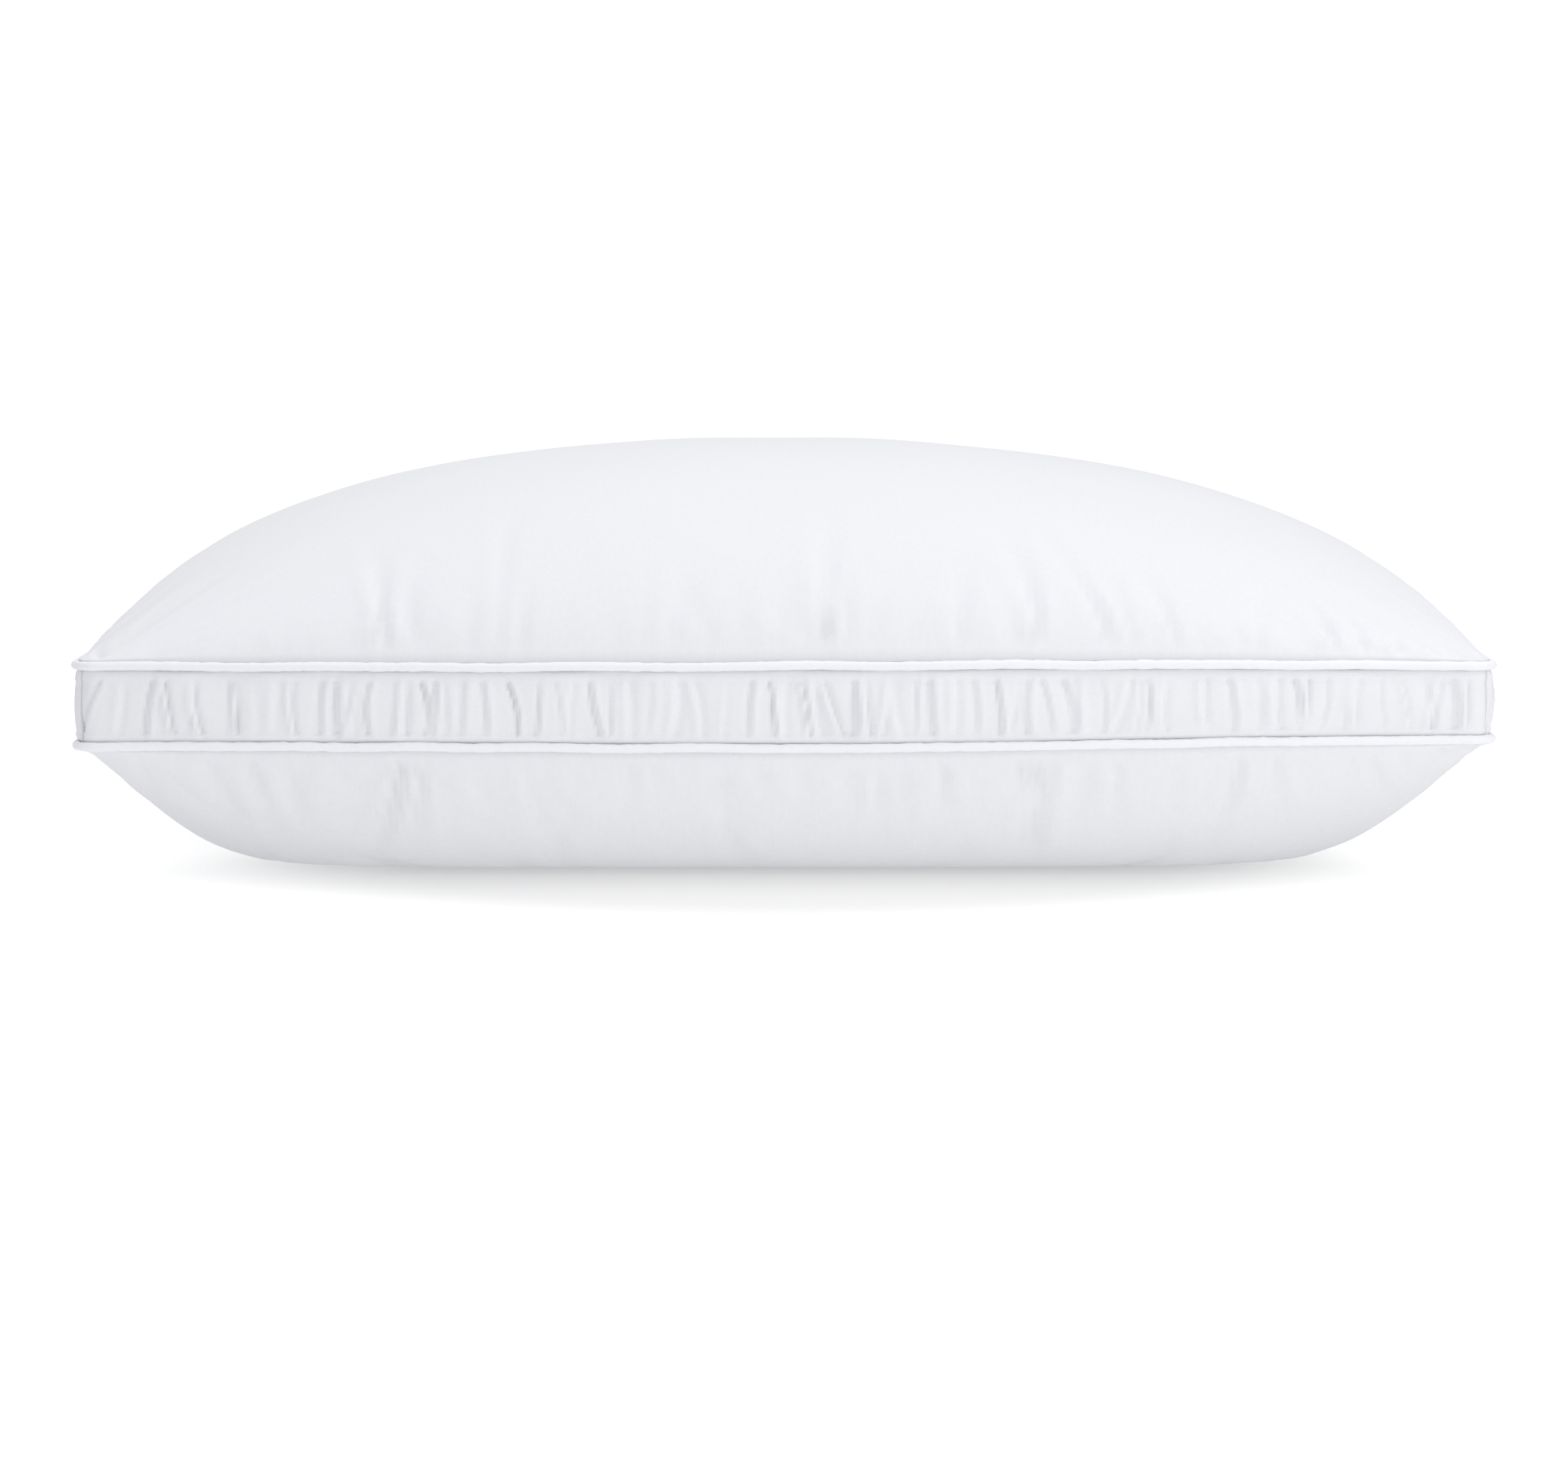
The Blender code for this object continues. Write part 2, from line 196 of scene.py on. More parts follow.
camera_data = bpy.data.cameras.new("camera")
camera_data.lens = 120.5
camera_data.sensor_width = 36.0
camera_data.clip_end = 60.0
scene.camera = aimed("camera", camera_data, (0.0, -2.789, 0.344), (0.0, 0.0, 0.0463))


# --- Piping ---------------------------------------------------------------------------------------
# Bias-cut cotton tape, folded round a 3 mm filler cord and sewn into the seam by its two edges.
# Sewing stretches it a little unevenly, so the bead is never quite round or level, and it puckers
# finely across.

PLY = 0.0005
BEAD_WAVE = 0.00012
PIPING_STATIONS = 1100
SEAM_REACH = 0.014
EAR = 0.0048
low_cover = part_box("bottom_piping_cover")
high_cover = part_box("top_piping_cover")
bead = (low_cover[1].z - low_cover[0].z) / 2
low_seam = (low_cover[1].z + low_cover[0].z) / 2
high_seam = (high_cover[1].z + high_cover[0].z) / 2
DRAWN_THREADS = 6
SIDE_PINCH = 0.004
FRONT_PINCH = 0.007
CORNER = 0.012
half_x = low_cover[1].x - bead + EAR
half_y = low_cover[1].y - bead + 0.0004


def waves(x, y, size, seed, count=28):
    """Smooth unevenness between about -1 and 1, with features of about this size in metres."""
    random = np.random.default_rng(seed)
    angle = random.uniform(0, 2 * np.pi, count)
    length = size * random.uniform(0.7, 1.8, count)
    phase = random.uniform(0, 2 * np.pi, count)
    total = sum(
        np.sin(2 * np.pi * (x * np.cos(a) + y * np.sin(a)) / l + p) for a, l, p in zip(angle, length, phase)
    )
    return total / math.sqrt(count)


def smooth_step(value, start, end):
    """0 before the start, 1 after the end, and a smooth rise between."""
    t = np.clip((value - start) / (end - start), 0, 1)
    return t * t * (3 - 2 * t)


def ring_waves(turn, size, seed, count=16):
    """The same round a closed seam, so that it meets itself. Turn runs from 0 to 2 pi."""
    random = np.random.default_rng(seed)
    length = 4 * (half_x + half_y)
    total = 0
    for _ in range(count):
        cycles = round(length / (size * random.uniform(0.7, 1.8)))
        total = total + np.sin(cycles * turn + random.uniform(0, 2 * np.pi))
    return total / math.sqrt(count)


def low_seam_at(x):
    """The lower seam lies level on the left, and is lifted a little at its right end."""
    return low_seam + 0.0032 * smooth_step(x, 0.0, half_x) - 0.0008 * np.cos(np.pi * x / half_x)


def high_seam_at(x):
    """The upper seam is nearly level."""
    return high_seam - 0.0007 * np.cos(np.pi * (x + 0.12) / half_x)


def pinched(x, y):
    """The filling draws each side in a little between its corners."""
    return (
        x * (1 - SIDE_PINCH / half_x * (1 - (y / half_y) ** 2)),
        y * (1 - FRONT_PINCH / half_y * (1 - (x / half_x) ** 2)),
    )


def outline(quarter, inset):
    """Points of the seam's plan, this far in from it, and the outward direction there. Each quarter
    is one side between the middles of two corners, anticlockwise from the front right corner."""
    side_x = np.array([1, 1, -1, -1])
    side_y = np.array([-1, 1, 1, -1])
    turn = np.floor(quarter).astype(int)
    centre = np.maximum(CORNER, inset + 0.002)
    straight = np.where(turn % 2 == 0, 2 * (half_y - CORNER), 2 * (half_x - CORNER))
    half_arc = math.pi * CORNER / 4
    along = (quarter - turn) * (straight + 2 * half_arc)
    before = np.clip(along / half_arc, 0, 1)
    after = np.clip((along - half_arc - straight) / half_arc, 0, 1)
    shorter = 1 - 2 * (centre - CORNER) / straight
    run = np.where(after > 0, 0, np.clip(along - half_arc, 0, straight)) * shorter
    corner = (turn + (after > 0)) % 4
    facing = np.pi / 2 * (turn % 4)
    angle = facing + np.pi / 4 * (before - 1 + after)
    x = side_x[corner] * (half_x - centre) - np.sin(facing) * run + (centre - inset) * np.cos(angle)
    y = side_y[corner] * (half_y - centre) + np.cos(facing) * run + (centre - inset) * np.sin(angle)
    x, y = pinched(x, y)
    return x, y, np.cos(angle), np.sin(angle)


def cloth_grid(name, points, flat, material, turned_over=False, joined=False):
    """A grid of cloth bent to these points. Flat is each point's place on the cut cloth in metres,
    and becomes the UV that the weave follows. A joined grid meets itself, as a tube does."""
    rows, columns = points.shape[:2]
    grid = bmesh.new()
    bmesh.ops.create_grid(grid, x_segments=columns - 1, y_segments=rows - 1, size=1)
    if turned_over:
        bmesh.ops.reverse_faces(grid, faces=grid.faces[:])
    mesh = bpy.data.meshes.new(name)
    grid.to_mesh(mesh)
    mesh.vertices.foreach_set("co", points.astype(np.float32).ravel())
    corner_points = np.empty(len(mesh.loops), np.int32)
    mesh.loops.foreach_get("vertex_index", corner_points)
    layer = mesh.uv_layers.new(name="flat")
    layer.data.foreach_set("uv", flat.reshape(-1, 2)[corner_points].astype(np.float32).ravel())
    grid.clear()
    grid.from_mesh(mesh)
    if joined:
        bmesh.ops.remove_doubles(grid, verts=grid.verts[:], dist=1e-6)
        bmesh.ops.recalc_face_normals(grid, faces=grid.faces[:])
    grid.to_mesh(mesh)
    grid.free()
    mesh.shade_smooth()
    mesh.materials.append(material)
    made = bpy.data.objects.new(name, mesh)
    scene.collection.objects.link(made)
    return made


def cotton(name, colour, threads_per_metre, weave_depth, crinkle_depth, crinkle_size, sheen, turned=0.0):
    """Plain-woven cotton, soft and without gloss. Its bump is the over-and-under of the threads, on
    top of the fine crinkle that washed cloth keeps, and its colour varies faintly from thread to
    thread. One thread is too fine to show, so the weave is drawn six threads wide."""
    material = bpy.data.materials.new(name)
    material.use_nodes = True
    tree = material.node_tree
    shader = tree.nodes["Principled BSDF"]
    shader.inputs["Roughness"].default_value = 0.82
    shader.inputs["Metallic"].default_value = 0.0
    shader.inputs["IOR"].default_value = 1.46
    shader.inputs["Specular IOR Level"].default_value = 0.25
    shader.inputs["Sheen Weight"].default_value = sheen
    shader.inputs["Sheen Roughness"].default_value = 0.5
    cut = add_node(tree, "ShaderNodeUVMap", uv_map="flat")
    bias = add_node(tree, "ShaderNodeMapping", {"Vector": cut.outputs[0]}, Rotation=(0.0, 0.0, turned))
    weave_scale = 2 * math.pi * threads_per_metre / DRAWN_THREADS / 20
    warp = add_node(tree, "ShaderNodeTexWave", {"Vector": bias.outputs[0]}, bands_direction="X",
                    Scale=weave_scale, Distortion=0.6, Detail=1.0)
    weft = add_node(tree, "ShaderNodeTexWave", {"Vector": bias.outputs[0]}, bands_direction="Y",
                    Scale=weave_scale, Distortion=0.6, Detail=1.0)
    woven = add_node(tree, "ShaderNodeMath", operation="MULTIPLY")
    tree.links.new(warp.outputs["Fac"], woven.inputs[0])
    tree.links.new(weft.outputs["Fac"], woven.inputs[1])
    place = add_node(tree, "ShaderNodeTexCoord")
    crinkle = add_node(tree, "ShaderNodeTexNoise", {"Vector": place.outputs["Object"]},
                       Scale=1 / crinkle_size, Detail=3.0, Roughness=0.55)
    slub = add_node(tree, "ShaderNodeTexNoise", {"Vector": bias.outputs[0]}, Scale=350.0, Detail=2.0)
    shade = add_node(tree, "ShaderNodeMixRGB", {"Fac": slub.outputs["Fac"]}, blend_type="MIX",
                     Color1=linear(colour), Color2=[0.955 * c for c in linear(colour)[:3]] + [1.0])
    crinkled = add_node(tree, "ShaderNodeBump", {"Height": crinkle.outputs["Fac"]},
                        Strength=1.0, Distance=crinkle_depth)
    bumped = add_node(tree, "ShaderNodeBump", {"Height": woven.outputs[0], "Normal": crinkled.outputs[0]},
                      Strength=0.6, Distance=weave_depth)
    tree.links.new(shade.outputs[0], shader.inputs["Base Color"])
    tree.links.new(bumped.outputs[0], shader.inputs["Normal"])
    return material


# Poplin tape, cut on the bias, so its weave runs at 45 degrees to the bead.
tape_cotton = cotton("piping_cotton", "F4F5F8", 3600, 0.00006, 0.00012, 0.004, 0.15, turned=math.pi / 4)


def piping_section():
    """The folded tape cut across, as (inset, height) from the cord's centre: the bead's outside and
    one edge of the seam's flange, then the other edge and the bead's inside."""
    flange_out = 0.00065
    flange_in = 0.00015
    outer_angle = math.asin(flange_out / bead)
    inner = bead - PLY
    inner_angle = math.asin(flange_in / inner)
    outside = np.linspace(outer_angle, 2 * np.pi - outer_angle, 19)
    inside = np.linspace(2 * np.pi - inner_angle, inner_angle, 11)
    section = [(SEAM_REACH, flange_out)]
    section += [(bead * math.cos(a), bead * math.sin(a)) for a in outside]
    section += [(SEAM_REACH, -flange_out), (SEAM_REACH, -flange_in)]
    section += [(inner * math.cos(a), inner * math.sin(a)) for a in inside]
    section += [(SEAM_REACH, flange_in)]
    return np.array(section)


def piping(name, seam_at, seed):
    """One tape, carried right round its seam, with fine puckers in the bead."""
    section = piping_section()
    section = np.vstack([section, section[:1]])
    quarter, inset = np.meshgrid(np.linspace(0, 4, PIPING_STATIONS + 1), section[:, 0])
    height = np.repeat(section[:, 1:], PIPING_STATIONS + 1, 1)
    round_part = np.clip(1 - np.abs(inset) / (1.3 * bead), 0, 1)
    turn = quarter * np.pi / 2
    pucker = ring_waves(turn, 0.009, seed) + 0.6 * ring_waves(turn, 0.0035, seed + 1)
    uneven = 1 + BEAD_WAVE / bead * pucker * round_part
    x, y, _, _ = outline(quarter, inset * uneven)
    z = seam_at(x) + height * uneven + 0.0002 * ring_waves(turn, 0.06, seed + 2) * round_part
    around = np.concatenate([[0], np.cumsum(np.hypot(*np.diff(section, axis=0).T))])
    flat = np.stack([quarter * tape_length / 4, np.repeat(around[:, None], PIPING_STATIONS + 1, 1)], -1)
    return cloth_grid(name, np.stack([x, y, z], -1), flat, tape_cotton, joined=True)


tape_length = 2 * (2 * half_x + 2 * half_y)
top_piping = piping("top_piping", high_seam_at, 21)
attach(top_piping, "top_edge")
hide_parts("top_piping_cover")
bottom_piping = piping("bottom_piping", low_seam_at, 31)
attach(bottom_piping, "base")
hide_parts("bottom_piping_cover")


# --- Filler cords ---------------------------------------------------------------------------------
# Three-strand twisted cotton, 3 mm thick, held all the way round inside each piping cover.


def cord_cotton(name):
    """Loosely spun unbleached cotton: creamy, dull and a little hairy."""
    material = bpy.data.materials.new(name)
    material.use_nodes = True
    tree = material.node_tree
    shader = tree.nodes["Principled BSDF"]
    shader.inputs["Roughness"].default_value = 0.9
    shader.inputs["Sheen Weight"].default_value = 0.2
    cut = add_node(tree, "ShaderNodeUVMap", uv_map="flat")
    hairs = add_node(tree, "ShaderNodeTexNoise", {"Vector": cut.outputs[0]}, Scale=2500.0, Detail=3.0)
    shade = add_node(tree, "ShaderNodeMixRGB", {"Fac": hairs.outputs["Fac"]},
                     Color1=linear("EFEBE0"), Color2=linear("DAD4C4"))
    raised = add_node(tree, "ShaderNodeBump", {"Height": hairs.outputs["Fac"]},
                      Strength=0.6, Distance=0.0001)
    tree.links.new(shade.outputs[0], shader.inputs["Base Color"])
    tree.links.new(raised.outputs[0], shader.inputs["Normal"])
    return material


filler_cotton = cord_cotton("filler_cord")


def ring_tube(name, seam_at, inset, lift, radius, sides, stations, strands, lay, material):
    """A thin round piece right along a seam. Its strands show as lobes that turn once in each lay
    length."""
    quarter, angle = np.meshgrid(np.linspace(0, 4, stations + 1), np.linspace(0, 2 * np.pi, sides + 1))
    turns = round(tape_length / lay)
    lobes = 1 - 0.06 * (1 - np.cos(strands * (angle - quarter * turns * np.pi / 2)))
    x, y, _, _ = outline(quarter, inset + radius * lobes * np.cos(angle))
    z = seam_at(x) + lift + radius * lobes * np.sin(angle)
    flat = np.stack([quarter * tape_length / 4, angle * radius], -1)
    return cloth_grid(name, np.stack([x, y, z], -1), flat, material, joined=True)


for side, seam_at, body in (("top", high_seam_at, "top_edge"), ("bottom", low_seam_at, "base")):
    cord = ring_tube(side + "_filler_cord", seam_at, 0.0, 0.0, 0.0014, 12, 1500, 3, 0.012, filler_cotton)
    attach(cord, body)
    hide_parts(side + "_piping_cord")


# --- Panels ---------------------------------------------------------------------------------------
# The top and bottom are cotton percale, each cut as a plain rectangle. The filling swells them, and
# what the swelling draws in gathers at the seams as short upright puckers. The bottom lies flat on
# the table.

PANEL_CUT = (0.775, 0.583)
CROWN_PROUD = 0.0036
CROWN_SHAPE = (2.2, 2.7, 0.605, -0.034)
CROWN_LUMPS = 0.0007
CORNER_CREASE = 0.0016
BELLY_DROP = 0.0900
BELLY_SHAPE = (5.8, 5.1, 0.82, -0.004)
BELLY_ROUND = 0.005
CLOTH_SLACK = 1.012
CLOTH_PRESSURE = 3.0
CLOTH_FRAMES = 14
CLOTH_BEND = 0.05
CLOTH_MOST_MOVE = 0.006
DETAIL_ROUNDS = 60
PANEL_COLUMNS = 236
PANEL_ROWS = 172
PANEL_GRADE = 0.62
FOOT_INSET = 0.0012
FOOT_LIFT = 0.0022
PLY_INSET = 0.0031
PLY_LIFT = 0.00095
FIRST_REACH = 0.0050
panel_x = half_x - FOOT_INSET
panel_y = half_y - FOOT_INSET

# Percale, about 107 threads to the inch each way: smooth and matt, and a shade greyer than the
# tape.
percale = cotton("percale_cotton", "EDEEF1", 4200, 0.00005, 0.00016, 0.012, 0.2)


def graded(count, grade):
    """Even steps from -1 to 1, drawn closer together towards both ends."""
    even = np.linspace(-1, 1, count + 1)
    return (1 - grade) * even + grade * np.sin(np.pi * even / 2)


def panel_plan(u, v):
    """Spreads a square grid over the panel, and rounds its corners."""
    radius = CORNER - FOOT_INSET
    x, y = u * panel_x, v * panel_y
    over_x = np.maximum(0, np.abs(x) - (panel_x - radius))
    over_y = np.maximum(0, np.abs(y) - (panel_y - radius))
    round_x = over_x * np.sqrt(1 - over_y ** 2 / (2 * radius ** 2))
    round_y = over_y * np.sqrt(1 - over_x ** 2 / (2 * radius ** 2))
    x = np.sign(x) * (np.minimum(np.abs(x), panel_x - radius) + round_x)
    y = np.sign(y) * (np.minimum(np.abs(y), panel_y - radius) + round_y)
    return pinched(x, y)


def swell(u, v, power_x, power_y, fullness, lean):
    """How a filled panel stands up: 0 all round its seam, 1 at its peak, which leans to one side.
    High powers make a flat middle with steep sides, and a low fullness makes the rise start steeply
    at the seam."""
    u = (u - lean) / (1 - lean * u)
    rise = np.clip(1 - np.abs(u) ** power_x, 0, 1) * np.clip(1 - np.abs(v) ** power_y, 0, 1)
    return rise ** fullness


def normals_of(points):
    """The outward direction at each point of a grid."""
    along = np.gradient(points, axis=1)
    across = np.gradient(points, axis=0)
    made = np.cross(along, across)
    return made / np.maximum(np.linalg.norm(made, axis=-1, keepdims=True), 1e-12)


def side_puckers(position, depth_in, side_length, seed, spacing, reach, depth, lean):
    """Furrows that start in a seam and fade into the panel. Position runs along the seam and
    depth_in away from it, both in metres. Spacing, reach and depth are (least, most)."""
    random = np.random.default_rng(seed)
    total = np.zeros_like(position)
    at = -side_length / 2 + 0.012
    while at < side_length / 2 - 0.012:
        far = random.uniform(*reach) * random.uniform(0.4, 1.0)
        deep = random.uniform(*depth)
        width = random.uniform(0.0022, 0.0052)
        slant = random.normal() * lean
        total += furrow(position, depth_in, at, far, deep, width, slant)
        at += random.uniform(*spacing)
    return total


def furrow(position, depth_in, at, far, deep, width, slant):
    """One furrow with a soft lip on each side. It widens and fades as it leaves the seam."""
    grown = width * (0.75 + 1.3 * np.clip(depth_in / far, 0, 2))
    off = (position - at - slant * depth_in) / grown
    fade = np.exp(-((depth_in / far) ** 2)) * smooth_step(depth_in, 0, 0.004)
    return -deep * (np.exp(-off ** 2) - 0.45 * np.exp(-((np.abs(off) - 2.0) ** 2) / 1.2)) * fade


# Furrows that stand out on the front, by place along X, reach, depth, width and slant.
TOP_FRONT_FOLDS = (
    (-0.196, 0.038, 0.0026, 0.0024, -0.14), (-0.183, 0.018, 0.0016, 0.0022, -0.10),
    (-0.140, 0.070, 0.0010, 0.0028, 0.02), (-0.128, 0.018, 0.0012, 0.0022, 0.05),
    (0.019, 0.042, 0.0022, 0.0026, 0.06), (0.029, 0.018, 0.0016, 0.0022, -0.10),
    (0.085, 0.022, 0.0012, 0.0024, 0.12), (0.126, 0.036, 0.0026, 0.0028, -0.30),
    (0.160, 0.046, 0.0020, 0.0028, -0.60), (0.172, 0.026, 0.0018, 0.0024, -0.50),
    (0.192, 0.034, 0.0018, 0.0026, -0.45), (0.232, 0.020, 0.0014, 0.0024, 0.10),
    (0.270, 0.038, 0.0022, 0.0028, -0.50), (0.284, 0.024, 0.0018, 0.0024, -0.40),
    (0.300, 0.018, 0.0014, 0.0024, -0.2),
)
BOTTOM_FRONT_FOLDS = (
    (-0.262, 0.030, 0.0018, 0.0030, 0.35), (-0.245, 0.020, 0.0014, 0.0026, 0.30),
    (-0.188, 0.052, 0.0030, 0.0034, -0.42), (-0.176, 0.034, 0.0022, 0.0028, -0.34),
    (-0.128, 0.032, 0.0014, 0.0028, 0.45), (-0.030, 0.048, 0.0024, 0.0030, 0.16),
    (0.046, 0.026, 0.0018, 0.0026, 0.10), (0.058, 0.018, 0.0014, 0.0024, 0.05),
    (0.078, 0.030, 0.0014, 0.0026, -0.15), (0.118, 0.034, 0.0018, 0.0030, 0.16),
    (0.130, 0.048, 0.0030, 0.0036, -0.26), (0.163, 0.024, 0.0016, 0.0026, 0.05),
    (0.224, 0.038, 0.0020, 0.0030, -0.35), (0.240, 0.026, 0.0014, 0.0026, 0.25),
    (0.286, 0.028, 0.0018, 0.0028, 0.45),
)


def front_folds(u, v, folds):
    """The folds that stand out on the front, from its seam upwards or downwards."""
    x, y = u * panel_x, v * panel_y
    total = sum(furrow(x, panel_y + y, *fold) for fold in folds)
    return total * smooth_step(np.minimum(1 - np.abs(u), 1 - np.abs(v)), 0.0, 0.012)


def all_puckers(u, v, seed, reach, depth):
    """The puckers of a panel's four seams, and the creases that run in from its corners."""
    x, y = u * panel_x, v * panel_y
    total = np.zeros_like(x)
    sides = (
        (x, panel_y + y, 2 * panel_x), (x, panel_y - y, 2 * panel_x),
        (y, panel_x - x, 2 * panel_y), (y, panel_x + x, 2 * panel_y),
    )
    for number, (position, depth_in, length) in enumerate(sides):
        total += side_puckers(position, depth_in, length, seed + number, (0.007, 0.024), reach, depth, 0.3)
    for side_x in (-1, 1):
        for side_y in (-1, 1):
            in_x, in_y = panel_x - side_x * x, panel_y - side_y * y
            out = np.hypot(in_x, in_y)
            angle = np.arctan2(in_y, in_x)
            for place in (0.35, 0.72, 1.15):
                off = (angle - place) * out / 0.006
                crease = CORNER_CREASE * np.exp(-off ** 2) * np.exp(-((out / 0.055) ** 2))
                total -= crease * smooth_step(out, 0, 0.02)
    rim = np.minimum(1 - np.abs(u), 1 - np.abs(v))
    return total * smooth_step(rim, 0.0, 0.012)


def relaxed(points, rest, pinned, pressure, frames, bending, most_move):
    """Runs the cloth under the filling's pressure from this shape, with its seams held. Rest is the
    shape that it would have unstretched. No point moves further than most_move."""
    cloth = cloth_grid("cloth", points, points[..., :2], percale)
    held = cloth.vertex_groups.new(name="seam")
    held.add([int(i) for i in np.flatnonzero(pinned.reshape(-1))], 1.0, "REPLACE")
    cloth.shape_key_add(name="filled")
    unstretched = cloth.shape_key_add(name="unstretched")
    unstretched.data.foreach_set("co", rest.astype(np.float32).ravel())
    modifier = cloth.modifiers.new("cloth", "CLOTH")
    settings = modifier.settings
    settings.quality = 5
    settings.mass = 0.15
    settings.tension_stiffness = 25.0
    settings.compression_stiffness = 25.0
    settings.shear_stiffness = 8.0
    settings.bending_stiffness = bending
    settings.vertex_group_mass = "seam"
    settings.rest_shape_key = unstretched
    settings.use_pressure = True
    settings.uniform_pressure_force = pressure
    settings.effector_weights.gravity = 0.0
    modifier.collision_settings.use_collision = False
    modifier.point_cache.frame_start = 1
    modifier.point_cache.frame_end = frames
    scene.frame_start = 1
    scene.frame_end = frames
    for number in range(1, frames + 1):
        scene.frame_set(number)
    done = cloth.evaluated_get(bpy.context.evaluated_depsgraph_get())
    moved = np.empty(points.size, np.float32)
    done.data.vertices.foreach_get("co", moved)
    scene.frame_set(1)
    bpy.data.objects.remove(cloth)
    shift = moved.reshape(points.shape).astype(float) - points
    length = np.linalg.norm(shift, axis=-1, keepdims=True)
    return points + shift * np.minimum(1, most_move / np.maximum(length, 1e-9))


def softened(values, rounds):
    """Averages a grid with its neighbours, over and over, with its rim held."""
    soft = values.copy()
    for _ in range(rounds):
        soft[1:-1] = (soft[:-2] + 2 * soft[1:-1] + soft[2:]) / 4
        soft[:, 1:-1] = (soft[:, :-2] + 2 * soft[:, 1:-1] + soft[:, 2:]) / 4
    return soft


def thickened(piece, thickness, offset):
    """Gives a sheet its cloth's thickness, and keeps only the mesh."""
    modifier = piece.modifiers.new("thickness", "SOLIDIFY")
    modifier.thickness = thickness
    modifier.offset = offset
    modifier.use_rim = True
    done = piece.evaluated_get(bpy.context.evaluated_depsgraph_get())
    mesh = bpy.data.meshes.new_from_object(done)
    piece.modifiers.clear()
    piece.data = mesh
    mesh.shade_smooth()


def with_allowance(piece, to_seam):
    """Turns a panel's edge in by its seam allowance. It rounds the bead, then lies flat against the
    tape's."""
    cloth = bmesh.new()
    cloth.from_mesh(piece.data)
    inward = (PLY_INSET - FOOT_INSET, FIRST_REACH, SEAM_REACH - PLY_INSET - FIRST_REACH)
    for reach, lift in zip(inward, ((FOOT_LIFT - PLY_LIFT) * to_seam, 0, 0)):
        rim = [edge for edge in cloth.edges if edge.is_boundary]
        grown = bmesh.ops.extrude_edge_only(cloth, edges=rim)["geom"]
        for point in grown:
            if isinstance(point, bmesh.types.BMVert):
                point.co.x *= 1 - reach / panel_x
                point.co.y *= 1 - reach / panel_y
                point.co.z += lift
    cloth.to_mesh(piece.data)
    cloth.free()
    piece.data.shade_smooth()


def panel_grid():
    """A panel's grid as shares, as plan places, which points the seam holds, and the flat cut
    cloth."""
    u, v = np.meshgrid(graded(PANEL_COLUMNS, PANEL_GRADE), graded(PANEL_ROWS, PANEL_GRADE))
    x, y = panel_plan(u, v)
    pinned = np.zeros(u.shape, bool)
    pinned[0] = pinned[-1] = True
    pinned[:, 0] = pinned[:, -1] = True
    flat = np.stack([u * PANEL_CUT[0] / 2, v * PANEL_CUT[1] / 2], -1)
    return u, v, x, y, pinned, flat


def top_panel_points():
    """The crown: swelled, puckered at its seams and relaxed. Only the fine part of what the cloth
    does is kept, so that it doesn't change the pillow's size."""
    u, v, x, y, pinned, flat = panel_grid()
    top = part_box("top_panel")[1].z + CROWN_PROUD
    foot = high_seam_at(x) + FOOT_LIFT
    lumps = CROWN_LUMPS * waves(x, y, 0.11, 5) * swell(u, v, 2, 2, 1, 0)
    rise = swell(u, v, *CROWN_SHAPE)
    points = np.stack([x, y, foot + (top - high_seam - FOOT_LIFT - 0.0006) * rise + lumps], -1)
    furrows = all_puckers(u, v, 40, (0.008, 0.034), (0.0002, 0.0014))
    start = points + normals_of(points) * furrows[..., None]
    rest = start.copy()
    rest[..., :2] *= CLOTH_SLACK
    done = relaxed(start, rest, pinned, CLOTH_PRESSURE, CLOTH_FRAMES, CLOTH_BEND, CLOTH_MOST_MOVE)
    detail = (done - start) - softened(done - start, DETAIL_ROUNDS)
    return start + detail + normals_of(points) * front_folds(u, v, TOP_FRONT_FOLDS)[..., None], flat


def bottom_panel_points():
    """The belly hangs from its seam and lies flat where it would pass through the table."""
    u, v, x, y, pinned, flat = panel_grid()
    foot = low_seam_at(x) - FOOT_LIFT
    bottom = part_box("bottom_panel")[0].z
    drop = foot - bottom - BELLY_DROP * swell(u, v, *BELLY_SHAPE)
    furrows = all_puckers(u, v, 60, (0.008, 0.036), (0.0003, 0.0018))
    height = bottom + (drop + np.sqrt(drop ** 2 + BELLY_ROUND ** 2)) / 2
    points = np.stack([x, y, height], -1)
    lifted = smooth_step(height - bottom, 0.002, 0.02)
    start = points - normals_of(points) * (furrows * lifted)[..., None]
    start[..., 2] = np.maximum(start[..., 2], bottom)
    rest = start.copy()
    rest[..., :2] *= CLOTH_SLACK
    done = relaxed(start, rest, pinned, -CLOTH_PRESSURE, CLOTH_FRAMES, CLOTH_BEND, CLOTH_MOST_MOVE)
    detail = (done - start) - softened(done - start, DETAIL_ROUNDS)
    made = start + detail - normals_of(points) * (front_folds(u, v, BOTTOM_FRONT_FOLDS) * lifted)[..., None]
    made[..., 2] = np.maximum(made[..., 2] - 0.0003, bottom)
    made[pinned] = start[pinned]
    return made, flat


points, flat = top_panel_points()
top_panel = cloth_grid("top_panel_cloth", points, flat, percale)
with_allowance(top_panel, -1)
thickened(top_panel, PLY, -1.0)
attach(top_panel, "crown")
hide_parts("top_panel")
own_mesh(top_panel)

points, flat = bottom_panel_points()
bottom_panel = cloth_grid("bottom_panel_cloth", points, flat, percale, turned_over=True)
with_allowance(bottom_panel, 1)
thickened(bottom_panel, PLY, -1.0)
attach(bottom_panel, "base")
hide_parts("bottom_panel")


